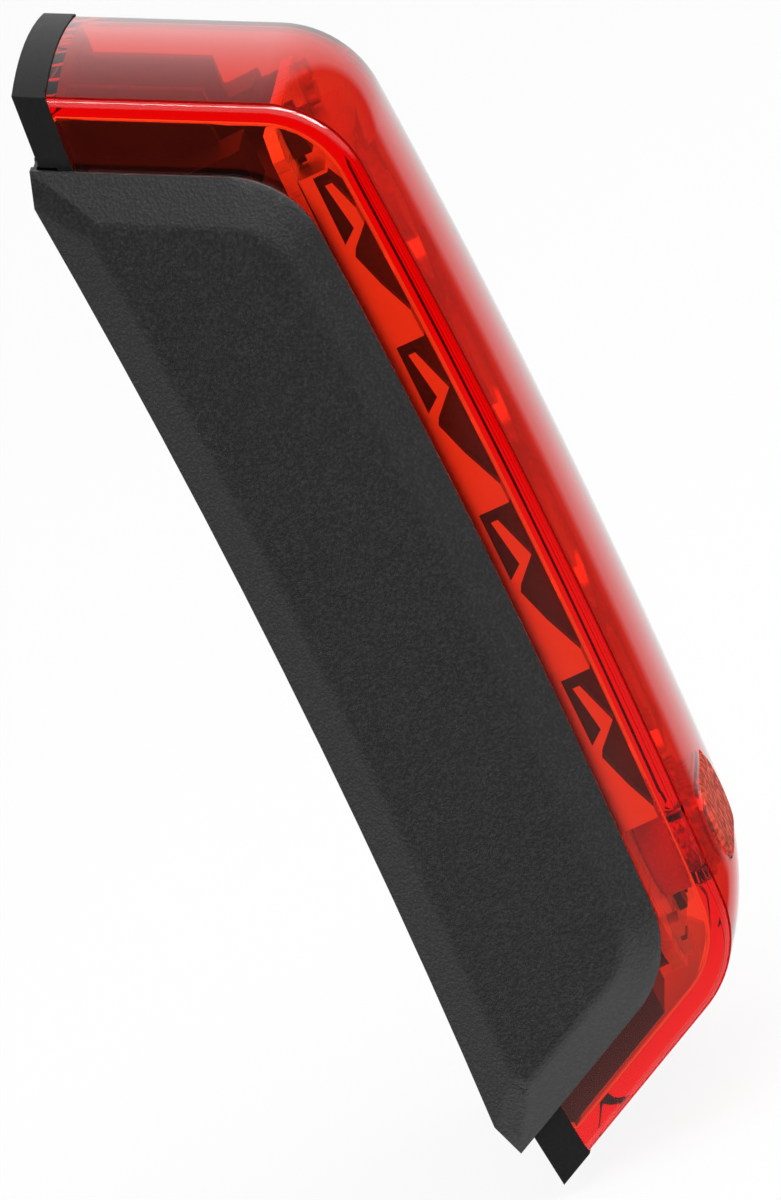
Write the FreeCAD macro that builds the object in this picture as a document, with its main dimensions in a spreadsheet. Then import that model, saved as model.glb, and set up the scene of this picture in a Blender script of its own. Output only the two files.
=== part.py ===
import FreeCAD, Part
import math
import os

# Bike tail light, millimetres, +Z up, X across the width, lens towards -Y.
# The datum is the middle of the bowed back: depth runs forward from it, so y = -depth.

Vector = FreeCAD.Vector

SIZES = (
    # Two AAA cells side by side
    ("cell_diameter", 10.5),
    ("cell_length", 44.5),
    ("nub_diameter", 3.8),
    ("nub_height", 1.3),
    ("cell_gap", 0.2),
    ("spring_room", 3.0),
    # Contacts
    ("strip_thick", 0.3),
    ("strip_width", 6.0),
    ("tail_width", 2.0),
    # Shared side profile: concentric bows closed by sloping ends
    ("bow_radius", 530.0),
    ("end_slope", 27.0),
    ("slide_gap", 0.1),
    # Chassis: battery bay, swept end flanges, end ribs and screw posts
    ("bay_side", 1.7),
    ("bay_end", 1.08),
    ("bay_floor", 0.7),
    ("end_room", 6.3),
    ("flange_gap", 0.12),
    ("flange_sweep", 5.5),
    ("flange_proud", 0.1),
    ("flange_inset_top", 0.82),
    ("flange_inset_foot", 1.25),
    ("flange_thick_top", 1.85),
    ("flange_thick_foot", 2.4),
    ("web_bite", 0.3),
    ("rib_gap", 0.25),
    ("rib_front", 1.4),
    ("rib_width", 6.4),
    ("post_radius", 1.5),
    ("post_side", 3.15),
    ("post_edge", 1.6),
    # Rear cover: back plate and two raised cheeks
    ("cover_step_top", 4.8),
    ("cover_step_foot", 3.7),
    ("lens_show", 4.0),
    ("cover_corner", 6.5),
    ("cover_wall", 1.2),
    ("cheek_edge", 0.4),
    ("cheek_rise", 0.7),
    ("bevel_side", 2.3),
    ("bevel_top", 3.1),
    ("bevel_foot", 2.5),
    ("heel_length", 2.1),
    ("heel_drop", 0.75),
    # Guide grooves and click hole for the bracket
    ("groove_centre", 10.5),
    ("groove_width", 2.4),
    ("groove_depth", 1.0),
    ("groove_wall", 0.7),
    ("frame_lip", 1.25),
    ("frame_short", 2.2),
    ("click_radius", 1.1),
    ("click_depth", 1.5),
    ("click_wall", 0.8),
    # Case seal
    ("seal_thick", 0.55),
    ("seal_end", 2.8),
    ("seal_inset", 0.5),
    ("seal_gap", 0.05),
    # Lens cover
    ("optics_depth", 4.65),
    ("lens_corner", 7.0),
    ("lens_crown", 0.6),
    ("lens_wall", 1.4),
    ("lens_edge", 0.7),
    ("lens_edge_drop", 0.42),
    # Circuit board and what it carries
    ("board_thick", 0.8),
    ("board_gap", 0.1),
    ("board_end_gap", 0.8),
    ("board_margin", 0.35),
    ("board_clip", 1.5),
    ("screw_radius", 0.8),
    ("screw_head", 1.35),
    ("screw_head_height", 0.7),
    ("screw_length", 5.0),
    ("screw_slot", 0.3),
    ("chip_length", 3.0),
    ("chip_width", 1.6),
    ("chip_height", 1.1),
    ("chip_lift", 0.1),
    ("leg_width", 0.4),
    ("leg_reach", 0.6),
    ("leg_height", 0.5),
    ("resistor_length", 2.0),
    ("resistor_width", 1.25),
    ("resistor_pitch", 3.2),
    # Light emitting diodes, spaced evenly between the board's top end and the button
    ("led_inset", 9.0),
    ("led_clear", 8.3),
    ("led_radius", 2.3),
    ("led_rim", 0.4),
    ("led_base", 0.8),
    ("led_height", 2.9),
    # Reflector with four dished cups, kite windows and their bent ribs
    ("reflector_gap", 0.3),
    ("tray_top", 5.9),
    ("tray_foot", 4.5),
    ("tray_chamfer", 1.2),
    ("cup_land", 0.7),
    ("cup_fit", 0.2),
    ("kite_reach", 2.0),
    ("kite_depth", 1.2),
    ("kite_land", 0.95),
    ("kite_waist", 7.5),
    ("kite_root", 4.9),
    ("kite_bend", 3.5),
    ("kite_start", 0.7),
    ("kite_rib", 0.45),
    ("kite_tip_gap", 0.2),
    # Push button, its boot and the switch under it
    ("button_inset", 5.9),
    ("button_width", 11.0),
    ("button_height", 5.2),
    ("button_proud", 0.3),
    ("button_chamfer", 0.25),
    ("button_fit", 0.1),
    ("button_lip", 0.6),
    ("lip_thick", 0.5),
    ("boot_roof", 0.35),
    ("boot_wall", 0.7),
    ("boot_rim", 0.6),
    ("press_gap", 0.22),
    ("switch_side", 4.5),
    ("switch_height", 1.1),
    ("plunger_radius", 1.0),
    ("plunger_height", 0.55),
)
LED_COUNT = 4

doc = FreeCAD.newDocument("TailLight")
sheet = doc.addObject("Spreadsheet::Sheet", "Sizes")
for row, (alias, value) in enumerate(SIZES, start=1):
    sheet.set("A%d" % row, alias)
    sheet.set("B%d" % row, str(value))
    sheet.setAlias("B%d" % row, alias)
doc.recompute()


class Size:
    """Reads the driving sizes back from the sheet."""

    def __getattr__(self, alias):
        return float(sheet.get(alias))


size = Size()
slope = math.tan(math.radians(size.end_slope))
lean = math.hypot(1.0, slope)
sweep = math.tan(math.radians(size.flange_sweep))

# Across the width: two cells between the bay's side walls
HALF_WIDTH = "(Sizes.cell_diameter + Sizes.cell_gap + Sizes.bay_side)"
lens_side = size.cell_diameter + size.cell_gap + size.bay_side
inner_side = lens_side - size.lens_wall
board_side = inner_side - size.board_margin
post_across = board_side - size.post_side
bay_wide = 2 * (size.cell_diameter + size.cell_gap)
cell_across = (size.cell_diameter + size.cell_gap) / 2

# From back to front: plate, seal, cells, board, switch and optics
frame_depth = size.groove_depth + size.cover_wall
web_back = frame_depth + size.slide_gap
chassis_back = web_back + size.seal_thick + size.seal_gap
cell_axis = size.cover_wall + size.cell_gap + size.cell_diameter / 2
floor_back = cell_axis + size.cell_diameter / 2 + size.cell_gap / 2
floor_front = floor_back + size.bay_floor
board_back = floor_front + size.board_gap
board_front = board_back + size.board_thick
plunger_back = board_front + size.switch_height
boot_inside = plunger_back + size.plunger_height + size.press_gap
boot_outside = boot_inside + size.boot_roof
lens_depth = board_front + size.optics_depth
cover_depth = lens_depth - size.lens_show
tray_back = board_front + size.slide_gap
tray_front = lens_depth - size.lens_wall - size.reflector_gap

# Along the light: half lengths are measured at depth 0 on each sloping end line
bay_half = (size.cell_length + size.spring_room + size.cell_gap) / 2 + size.strip_thick
chassis_half = bay_half + size.bay_end + floor_front * slope
lens_half = chassis_half + size.end_room
inner_half = lens_half - size.lens_wall * lean
cover_halves = (lens_half - size.cover_step_top, lens_half - size.cover_step_foot)
flange_backs = (size.flange_inset_top, size.flange_inset_foot)
flange_thicks = (size.flange_thick_top, size.flange_thick_foot)
flange_fronts = [back + thick for back, thick in zip(flange_backs, flange_thicks)]
board_half = inner_half - board_front * slope - size.board_end_gap
post_up = board_half - size.post_edge
button_up = size.button_inset - board_half
led_top = board_half - size.led_inset
led_pitch = (led_top - button_up - size.led_clear) / (LED_COUNT - 1)
led_places = [led_top - led_pitch * step for step in range(LED_COUNT)]
contact_wall = bay_half - size.strip_thick / 2 - size.cell_gap / 4
tail_end = board_back - size.strip_thick


def meet(radius, half):
    """Point (depth, z) where a bow of this radius meets an end line of this half length."""
    a = 1 + slope ** 2
    b = 2 * (size.bow_radius - half * slope)
    c = size.bow_radius ** 2 + half ** 2 - radius ** 2
    depth = (-b + math.sqrt(b * b - 4 * a * c)) / (2 * a)
    return depth, half - depth * slope


def bow(depth, z):
    """Depth at height z of the bow that passes through this depth in the middle."""
    return math.sqrt((size.bow_radius + depth) ** 2 - z ** 2) - size.bow_radius


def swept(inset, z):
    """Depth at height z of a flange face that leans forward towards the end of the light."""
    return inset + (z - lens_half) * sweep


def swept_end(inset, half):
    """Point (depth, z) where a swept flange face meets an end line of this half length."""
    z = (half - slope * (inset - lens_half * sweep)) / (1 + slope * sweep)
    return swept(inset, z), z


def crown_at(x):
    """Height of the lens's crown at this place across the width."""
    return size.lens_crown * (1 - (x / lens_side) ** 2)


def spot(depth, z):
    """Sketch point on the YZ plane."""
    return Vector(-depth, z, 0)


def line(a, b):
    """Straight edge between two (depth, z) points."""
    return Part.LineSegment(spot(*a), spot(*b))


def arc(a, middle, b):
    """Arc through three (depth, z) points."""
    return Part.Arc(spot(*a), spot(*middle), spot(*b))


def flip(point):
    """The same point at the foot end."""
    return point[0], -point[1]


def polygon(points):
    """Closed outline of straight edges through (depth, z) points."""
    return [line(a, b) for a, b in zip(points, points[1:] + points[:1])]


def corner_arc(front, half, corner):
    """Start, crest and end of the rounded corner between an end line and the front bow."""
    radius = size.bow_radius + front
    centre = meet(radius - corner, half - corner * lean)
    reach = math.hypot(centre[0] + size.bow_radius, centre[1])
    on_bow = ((centre[0] + size.bow_radius) * radius / reach - size.bow_radius, centre[1] * radius / reach)
    on_end = (centre[0] + corner * slope / lean, centre[1] + corner / lean)
    aim = ((on_bow[0] + on_end[0]) / 2 - centre[0], (on_bow[1] + on_end[1]) / 2 - centre[1])
    grow = corner / math.hypot(*aim)
    crest = (centre[0] + aim[0] * grow, centre[1] + aim[1] * grow)
    return on_end, crest, on_bow


def front_edges(front, halves, corner, top, foot, hidden=False):
    """Edges from the point top down the front to the point foot: slope, corner, bow and back.

    A hidden corner is two flats through the crest of its arc.
    """
    upper = corner_arc(front, halves[0], corner)
    lower = [flip(point) for point in corner_arc(front, halves[1], corner)][::-1]
    edges = [line(top, upper[0])]
    edges += [line(*upper[:2]), line(*upper[1:])] if hidden else [arc(*upper)]
    edges.append(arc(upper[2], (front, 0.0), lower[0]))
    edges += [line(*lower[:2]), line(*lower[1:])] if hidden else [arc(*lower)]
    edges.append(line(lower[2], foot))
    return edges


def cover_outline(side=0.0, insets=(0.0, 0.0)):
    """Closed side view of the rear cover, drawn in by these amounts for the raised plateau."""
    ends = []
    halves = []
    for cover_half, inset in zip(cover_halves, insets):
        half = cover_half - inset * lean
        heel_z = half - size.heel_length
        heel = (bow(side, heel_z), heel_z)
        depth = heel[0] + size.heel_drop
        halves.append(half)
        ends.append((heel, (depth, half - depth * slope)))
    top_heel, top = ends[0]
    foot_heel, foot = [flip(point) for point in ends[1]]
    edges = front_edges(cover_depth - side, halves, size.cover_corner - min(side, *insets), top, foot)
    edges += [line(foot, foot_heel), arc(foot_heel, (side, 0.0), top_heel), line(top_heel, top)]
    return edges


def band(back, front, half):
    """Closed strip between two bows, cut square at plus and minus half."""
    corners = [(bow(back, half), half), (bow(front, half), half)]
    return [
        line(corners[0], corners[1]),
        arc(corners[1], (front, 0.0), flip(corners[1])),
        line(flip(corners[1]), flip(corners[0])),
        arc(flip(corners[0]), (back, 0.0), corners[0]),
    ]


def plan_edges(points):
    """Closed outline of straight edges through (x, z) points on the XZ plane."""
    corners = [Vector(x, z, 0) for x, z in points]
    return [Part.LineSegment(a, b) for a, b in zip(corners, corners[1:] + corners[:1])]


def box_edges(low_x, high_x, low_z, high_z):
    """Rectangle on the XZ plane."""
    return plan_edges([(low_x, low_z), (high_x, low_z), (high_x, high_z), (low_x, high_z)])


def circle_edges(x, z, radius):
    """Circle on the XZ plane."""
    return [Part.Circle(Vector(x, z, 0), Vector(0, 0, 1), radius)]


def stadium_edges(z, wide, high):
    """Flat-sided oval on the XZ plane about x = 0, wider than it is high."""
    r = high / 2
    run = wide / 2 - r
    return [
        Part.LineSegment(Vector(-run, z - r, 0), Vector(run, z - r, 0)),
        Part.Arc(Vector(run, z - r, 0), Vector(run + r, z, 0), Vector(run, z + r, 0)),
        Part.LineSegment(Vector(run, z + r, 0), Vector(-run, z + r, 0)),
        Part.Arc(Vector(-run, z + r, 0), Vector(-run - r, z, 0), Vector(-run, z - r, 0)),
    ]


def new_body(name):
    """Empty body for one sub-part."""
    body = doc.addObject("PartDesign::Body", name)
    body.Label = name
    return body


def origin_part(body, role):
    """Origin plane or axis of a body."""
    return next(item for item in body.Origin.OriginFeatures if item.Role == role)


def new_sketch(body, name, role, edges, offset=None, shift=None, depth=None):
    """Sketch on an origin plane.

    offset and shift are expressions along the plane's normal and its second axis, depth is a place
    in front of the datum for a sketch on the XZ plane.
    """
    sketch = body.newObject("Sketcher::SketchObject", name)
    sketch.AttachmentSupport = [(origin_part(body, role), "")]
    sketch.MapMode = "FlatFace"
    if depth is not None:
        sketch.AttachmentOffset = FreeCAD.Placement(Vector(0, 0, depth), FreeCAD.Rotation())
    if offset is not None:
        sketch.setExpression("AttachmentOffset.Base.z", offset)
    if shift is not None:
        sketch.setExpression("AttachmentOffset.Base.y", shift)
    for edge in edges:
        sketch.addGeometry(edge, False)
    return sketch


def feature(body, kind, name, sketch, length, middle=False, back=False):
    """Pad or Pocket of a sketch; its length is an expression or a worked-out distance."""
    item = body.newObject("PartDesign::" + kind, name)
    item.Profile = sketch
    if isinstance(length, str):
        item.setExpression("Length", length)
    else:
        item.Length = length
    if middle:
        item.SideType = "Symmetric"
    item.Reversed = back
    sketch.Visibility = False
    body.Tip = item
    doc.recompute()
    return item


def turned(body, kind, name, sketch, axis):
    """Revolution or Groove of a sketch, a full turn about one of its axes."""
    item = body.newObject("PartDesign::" + kind, name)
    item.Profile = sketch
    item.ReferenceAxis = (sketch, [axis])
    item.Angle = 360
    sketch.Visibility = False
    body.Tip = item
    doc.recompute()
    return item


def mirror(body, name, originals):
    """The same features on the other side of the middle plane."""
    item = body.newObject("PartDesign::Mirrored", name)
    item.Originals = originals
    item.MirrorPlane = (origin_part(body, "YZ_Plane"), [""])
    body.Tip = item
    doc.recompute()
    return item


def loft(body, kind, name, stations, ruled=False):
    """Loft through side views placed across the width by expressions."""
    sketches = []
    for number, (edges, offset) in enumerate(stations):
        sketches.append(new_sketch(body, "%s%d" % (name, number), "YZ_Plane", edges, offset))
    doc.recompute()
    item = body.newObject("PartDesign::" + kind, name)
    item.Profile = sketches[0]
    item.Sections = sketches[1:]
    item.Ruled = ruled
    body.Tip = item
    doc.recompute()
    return item


def make_rear_cover():
    """U-shaped shell: bowed back plate, two cheeks with broad bevels, guide grooves and a click hole."""
    body = new_body("rear_cover")
    cavity = "(2 * %s + 2 * Sizes.slide_gap)" % HALF_WIDTH
    rim_place = "%s + Sizes.slide_gap + Sizes.cheek_edge" % HALF_WIDTH
    reach = cover_halves[1] + size.cover_corner
    shell = new_sketch(body, "CoverOutline", "YZ_Plane", cover_outline())
    feature(body, "Pad", "CoverBlock", shell, cavity + " + 2 * Sizes.cheek_edge", middle=True)
    inside = new_sketch(body, "CoverInside", "YZ_Plane",
                        band(size.cover_wall, cover_depth + size.cover_corner, reach))
    feature(body, "Pocket", "CoverHollow", inside, cavity, middle=True)
    plateau = cover_outline(size.bevel_side, (size.bevel_top, size.bevel_foot))
    cheek = loft(body, "AdditiveLoft", "CheekBevel", (
        (cover_outline(), rim_place),
        (plateau, rim_place + " + Sizes.cheek_rise"),
    ), ruled=True)
    mirror(body, "CheekBevelFar", [cheek])
    frame = new_sketch(body, "FrameBand", "YZ_Plane",
                       band(size.cover_wall / 2, frame_depth, cover_halves[0] - size.frame_short))
    feature(body, "Pad", "SealFrame", frame, cavity, middle=True)
    window_side = size.groove_centre - size.groove_width / 2 - size.groove_wall
    window_end = bay_half + size.frame_lip
    window = new_sketch(body, "FrameWindow", "XZ_Plane",
                        box_edges(-window_side, window_side, -window_end, window_end), "Sizes.cover_wall")
    feature(body, "Pocket", "FrameOpening", window, "Sizes.groove_depth + Sizes.cover_wall", back=True)
    groove = new_sketch(body, "GrooveBand", "YZ_Plane", band(-size.cover_wall, size.groove_depth, reach),
                        "Sizes.groove_centre - Sizes.groove_width / 2")
    cut = feature(body, "Pocket", "GuideGroove", groove, "Sizes.groove_width", back=True)
    mirror(body, "GuideGrooveFar", [cut])
    boss = new_sketch(body, "ClickBoss", "XZ_Plane",
                      circle_edges(0, 0, size.click_radius + size.click_wall), "Sizes.cover_wall / 2")
    feature(body, "Pad", "ClickSeat", boss, "Sizes.click_depth + Sizes.click_wall - Sizes.cover_wall / 2")
    hole = new_sketch(body, "ClickCircle", "XZ_Plane", circle_edges(0, 0, size.click_radius),
                      "Sizes.click_depth")
    feature(body, "Pocket", "ClickHole", hole, "2 * Sizes.click_depth")
    return body


def make_case_seal():
    """Bowed rubber frame between the rear cover's inner frame and the battery bay's rim."""
    body = new_body("case_seal")
    outer = new_sketch(body, "SealBand", "YZ_Plane",
                       band(web_back, web_back + size.seal_thick, bay_half + size.seal_end))
    feature(body, "Pad", "SealSheet", outer, "2 * %s - 2 * Sizes.slide_gap" % HALF_WIDTH, middle=True)
    window_end = bay_half + size.seal_inset
    inner = new_sketch(body, "SealWindow", "XZ_Plane",
                       box_edges(-bay_wide / 2, bay_wide / 2, -window_end, window_end))
    feature(body, "Pocket", "SealOpening", inner, 2 * cover_depth, middle=True)
    return body


def flange_points(side, rise):
    """Side view of one swept end flange and the web that ties it to the battery bay."""
    place = 0 if side > 0 else 1
    back = flange_backs[place]
    front = flange_fronts[place]
    start_half = cover_halves[place] + size.flange_gap * lean
    end_half = lens_half + (size.flange_proud + rise) * lean
    root_z = bay_half + size.seal_end + size.slide_gap
    points = [
        swept_end(back, start_half),
        swept_end(back, end_half),
        swept_end(front, end_half),
        swept_end(front, chassis_half),
        (chassis_back + size.web_bite, root_z),
        (bow(web_back, root_z), root_z),
        meet(size.bow_radius + web_back, start_half),
    ]
    return [(depth, side * z) for depth, z in points]


def end_rib_points(side):
    """Side view of the ribs that fill the lens's end from the flange to the front of the cells."""
    seat = flange_fronts[0 if side > 0 else 1] - size.web_bite
    front = floor_front - size.rib_front
    outer = inner_half - size.rib_gap * lean
    inner = chassis_half - size.web_bite
    points = [
        swept_end(seat, outer),
        (front, outer - front * slope),
        (front, inner - front * slope),
        swept_end(seat, inner),
    ]
    return [(depth, side * z) for depth, z in points]


def make_chassis():
    """Battery bay with sloping ends, two swept end flanges, end ribs and the board's screw posts."""
    body = new_body("chassis")
    back_z = chassis_half - chassis_back * slope
    front_z = chassis_half - floor_front * slope
    back_corner = (bow(chassis_back, back_z), back_z)
    profile = [
        line(back_corner, (floor_front, front_z)),
        line((floor_front, front_z), (floor_front, -front_z)),
        line((floor_front, -front_z), flip(back_corner)),
        arc(flip(back_corner), (chassis_back, 0.0), back_corner),
    ]
    block = new_sketch(body, "BayProfile", "YZ_Plane", profile)
    feature(body, "Pad", "BayBlock", block, "2 * %s - 2 * Sizes.slide_gap" % HALF_WIDTH, middle=True)
    for name, side in (("Top", 1), ("Foot", -1)):
        loft(body, "AdditiveLoft", name + "Flange", (
            (polygon(flange_points(side, 0.0)), "-" + HALF_WIDTH),
            (polygon(flange_points(side, size.lens_crown)), None),
            (polygon(flange_points(side, 0.0)), HALF_WIDTH),
        ))
        ribs = new_sketch(body, name + "RibProfile", "YZ_Plane", polygon(end_rib_points(side)),
                          HALF_WIDTH + " - Sizes.lens_wall - Sizes.rib_gap - Sizes.rib_width")
        rib = feature(body, "Pad", name + "Rib", ribs, "Sizes.rib_width")
        mirror(body, name + "RibFar", [rib])
        across = side * post_across
        up = side * post_up
        ring = new_sketch(body, name + "PostCircle", "XZ_Plane", circle_edges(across, up, size.post_radius),
                          depth=chassis_back)
        feature(body, "Pad", name + "Post", ring, board_back - chassis_back)
        pilot = new_sketch(body, name + "PilotCircle", "XZ_Plane",
                           circle_edges(across, up, size.screw_radius), depth=board_back)
        feature(body, "Pocket", name + "Pilot", pilot, "Sizes.screw_length")
    bay = new_sketch(body, "BayOpening", "XZ_Plane",
                     box_edges(-bay_wide / 2, bay_wide / 2, -bay_half, bay_half), depth=floor_back)
    feature(body, "Pocket", "Bay", bay, "Sizes.cell_diameter + 2 * Sizes.cover_wall")
    slots = []
    half_slot = size.tail_width / 2 + size.cell_gap
    for x in (-cell_across, cell_across):
        slots += box_edges(x - half_slot, x + half_slot, bay_half - 2 * size.strip_thick, bay_half)
    tails = new_sketch(body, "TailSlots", "XZ_Plane", slots, depth=floor_front + size.bay_floor)
    feature(body, "Pocket", "TailOpenings", tails, "3 * Sizes.bay_floor")
    return body


def lens_outline(inset, crown, opening=0.0):
    """Side view of the lens at one station across the width; an opening runs out through its back."""
    half = lens_half + (crown - inset) * lean
    root_z = chassis_half - size.slide_gap
    seats = [front - opening for front in flange_fronts]
    top = swept_end(seats[0], half)
    foot = flip(swept_end(seats[1], half))
    top_root = (swept(seats[0], root_z), root_z)
    foot_root = (swept(seats[1], root_z), -root_z)
    corner = size.lens_corner - inset
    edges = front_edges(lens_depth + crown - inset, (half, half), corner, top, foot, opening > 0)
    edges += [line(foot, foot_root), line(foot_root, top_root), line(top_root, top)]
    return edges


def make_lens_cover():
    """Red shell with a slightly crowned front and ends, open at the back, pierced for the button."""
    body = new_body("lens_cover")
    wall = size.lens_wall
    edge_place = lens_side - size.lens_edge
    loft(body, "AdditiveLoft", "LensSkin", (
        (lens_outline(0.0, crown_at(edge_place)), "Sizes.lens_edge - " + HALF_WIDTH),
        (lens_outline(0.0, size.lens_crown), None),
        (lens_outline(0.0, crown_at(edge_place)), HALF_WIDTH + " - Sizes.lens_edge"),
    ))
    rim = loft(body, "AdditiveLoft", "LensRim", (
        (lens_outline(0.0, crown_at(edge_place)), HALF_WIDTH + " - Sizes.lens_edge"),
        (lens_outline(size.lens_edge_drop, 0.0), HALF_WIDTH),
    ))
    mirror(body, "LensRimFar", [rim])
    hollow = []
    for share in (-1.0, -0.5, 0.0, 0.5, 1.0):
        place = "%g * (%s - Sizes.lens_wall)" % (share, HALF_WIDTH)
        hollow.append((lens_outline(wall, crown_at(share * inner_side), 2 * wall), place))
    loft(body, "SubtractiveLoft", "LensHollow", hollow, ruled=True)
    seat = floor_front + size.slide_gap
    half = chassis_half + size.slide_gap * lean
    notch = polygon([(-wall, half + wall * slope), (seat, half - seat * slope),
                     (seat, seat * slope - half), (-wall, -half - wall * slope)])
    bay = new_sketch(body, "BayNotch", "YZ_Plane", notch)
    feature(body, "Pocket", "BayClearance", bay, "4 * " + HALF_WIDTH, middle=True)
    hole = new_sketch(body, "ButtonHole", "XZ_Plane",
                      stadium_edges(button_up, size.button_width + 2 * size.button_fit,
                                    size.button_height + 2 * size.button_fit),
                      depth=lens_depth + 2 * size.lens_crown)
    feature(body, "Pocket", "ButtonAperture", hole, "Sizes.lens_wall + 3 * Sizes.lens_crown")
    return body


def bent_strip(body, name, route, x_low, wide):
    """Strip of constant thickness along a route of (depth, z) points, pressed from sheet metal."""
    half = size.strip_thick / 2
    left = []
    right = []
    for index, (depth, z) in enumerate(route):
        before = route[max(index - 1, 0)]
        after = route[min(index + 1, len(route) - 1)]
        runs = [(depth - before[0], z - before[1]), (after[0] - depth, after[1] - z)]
        runs = [(dd / math.hypot(dd, dz), dz / math.hypot(dd, dz)) for dd, dz in runs if (dd, dz) != (0, 0)]
        normals = [(-dz, dd) for dd, dz in runs]
        mean = (sum(n[0] for n in normals) / len(normals), sum(n[1] for n in normals) / len(normals))
        scale = half / (mean[0] ** 2 + mean[1] ** 2)
        left.append((depth + mean[0] * scale, z + mean[1] * scale))
        right.append((depth - mean[0] * scale, z - mean[1] * scale))
    sketch = new_sketch(body, name + "Profile", "YZ_Plane", polygon(left + right[::-1]))
    sketch.AttachmentOffset = FreeCAD.Placement(Vector(0, 0, x_low), FreeCAD.Rotation())
    return feature(body, "Pad", name, sketch, wide)


def spring_route(side):
    """Leaf spring: up the end wall, over and back down in a bow that pushes on the cell."""
    push = bay_half - size.strip_thick - size.cell_gap / 2
    bowed = push - size.spring_room + size.strip_thick
    low = cell_axis + size.cell_diameter / 4
    high = cell_axis - size.cell_diameter / 4
    points = [
        (low + size.strip_width / 4, contact_wall),
        (high, contact_wall),
        (high - size.strip_thick, contact_wall - size.strip_thick),
        (cell_axis, bowed + size.strip_thick / 2),
        (low, push - size.strip_width / 6),
    ]
    return [(depth, side * z) for depth, z in points]


def make_contact(name, x, kind):
    """Board contact at the top of the bay: a flat tab or a leaf spring, with its solder tail."""
    body = new_body(name)
    start = x - size.strip_width / 2
    tab = [(chassis_back + 2 * size.strip_thick, contact_wall),
           (cell_axis + size.strip_width / 2, contact_wall)]
    route = spring_route(1) if kind == "leaf" else tab
    bent_strip(body, name + "_" + kind, route, start, "Sizes.strip_width")
    bent_strip(body, name + "_tail", [(cell_axis, contact_wall), (tail_end, contact_wall)],
               x - size.tail_width / 2, "Sizes.tail_width")
    return body


def make_bridge():
    """One strip across the foot of the bay: leaf spring for the left cell, flat tab for the right."""
    body = new_body("bridge_contact")
    half = size.strip_width / 2
    start = -cell_across - half
    bar = [(cell_axis - half, -contact_wall), (cell_axis + half, -contact_wall)]
    bent_strip(body, "bridge_leaf", spring_route(-1), start, "Sizes.strip_width")
    bent_strip(body, "bridge_bar", bar, start, "Sizes.cell_diameter + Sizes.cell_gap + Sizes.strip_width")
    return body


def make_cell(name, x, side):
    """AAA cell: can with a raised positive nub, side says which way the nub points."""
    body = new_body(name)
    tip = side * (contact_wall - size.strip_thick / 2 - size.cell_gap / 4)
    foot = tip - side * size.cell_length
    shoulder = tip - side * size.nub_height
    can = size.cell_diameter / 2
    nub = size.nub_diameter / 2
    points = [(0, tip), (nub, tip), (nub, shoulder), (can, shoulder), (can, foot), (0, foot)]
    profile = new_sketch(body, name + "_profile", "XZ_Plane", plan_edges(points))
    turned(body, "Revolution", name + "_can", profile, "V_Axis")
    body.Placement = FreeCAD.Placement(Vector(x, -cell_axis, 0), FreeCAD.Rotation())
    doc.recompute()
    return body


def make_circuit_board():
    """Thin board behind the reflector, with clipped corners and its two screw holes."""
    body = new_body("circuit_board")
    cut_x = board_side - size.board_clip
    cut_z = board_half - size.board_clip
    points = [(-cut_x, -board_half), (cut_x, -board_half), (board_side, -cut_z), (board_side, cut_z),
              (cut_x, board_half), (-cut_x, board_half), (-board_side, cut_z), (-board_side, -cut_z)]
    edges = plan_edges(points)
    for side in (1, -1):
        edges += circle_edges(side * post_across, side * post_up, size.screw_radius + size.slide_gap)
    plan = new_sketch(body, "BoardPlan", "XZ_Plane", edges, depth=board_back)
    feature(body, "Pad", "Board", plan, "Sizes.board_thick")
    return body


def make_board_screws():
    """Two slotted screws as one node: the heads clamp the board to the chassis posts."""
    head = size.screw_head
    height = size.screw_head_height
    shank = size.screw_radius - size.slide_gap / 2
    tip = board_front - size.screw_length + size.board_thick
    profile = [
        Vector(0, -board_front - height, 0),
        Vector(head, -board_front - height, 0),
        Vector(head, -board_front, 0),
        Vector(shank, -board_front, 0),
        Vector(shank, -tip, 0),
        Vector(0, -tip, 0),
    ]
    solid = Part.Face(Part.makePolygon(profile + profile[:1])).revolve(Vector(0, 0, 0), Vector(0, 1, 0), 360)
    cutter = Vector(-2 * head, -board_front - 1.5 * height, -size.screw_slot / 2)
    screw = solid.cut(Part.makeBox(4 * head, height, size.screw_slot, cutter))
    screws = []
    for side in (1, -1):
        copy = screw.copy()
        copy.translate(Vector(side * post_across, 0, side * post_up))
        screws.append(copy)
    item = doc.addObject("Part::Feature", "board_screws")
    item.Label = "board_screws"
    item.Shape = Part.makeCompound(screws)
    return item


def make_led(number, z):
    """Low flat-topped round diode with a rim on the board."""
    body = new_body("led_%d" % number)
    r = size.led_radius
    base = board_front
    step = base + size.led_base
    tip = base + size.led_height
    profile = polygon([(base, 0), (base, r + size.led_rim), (step, r + size.led_rim),
                       (step, r), (tip, r), (tip, 0)])
    turned(body, "Revolution", "led_%d_body" % number,
           new_sketch(body, "led_%d_profile" % number, "YZ_Plane", profile), "H_Axis")
    body.Placement = FreeCAD.Placement(Vector(0, 0, z), FreeCAD.Rotation())
    doc.recompute()
    return body


def kite_outline(z):
    """Window of one reflector module hung from z: a kite with a bent rib growing in from its back edge."""
    back = tray_front - size.kite_reach
    out = tray_front + size.slide_gap
    tip = tray_front - size.kite_tip_gap
    rib = size.kite_rib
    start = z - size.kite_start
    bend = z - size.kite_bend
    root = z - size.kite_root
    return polygon([
        (back, z), (out, z), (out, z - led_pitch + size.kite_land),
        (back + 2 * rib, z - size.kite_waist), (back + rib / 2, root - rib),
        (back + rib, root), (tip, bend), (back + 2 * rib, start),
        (back + rib, start), (tip - 2 * rib, bend - rib / 2), (back, root + rib),
    ])


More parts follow.
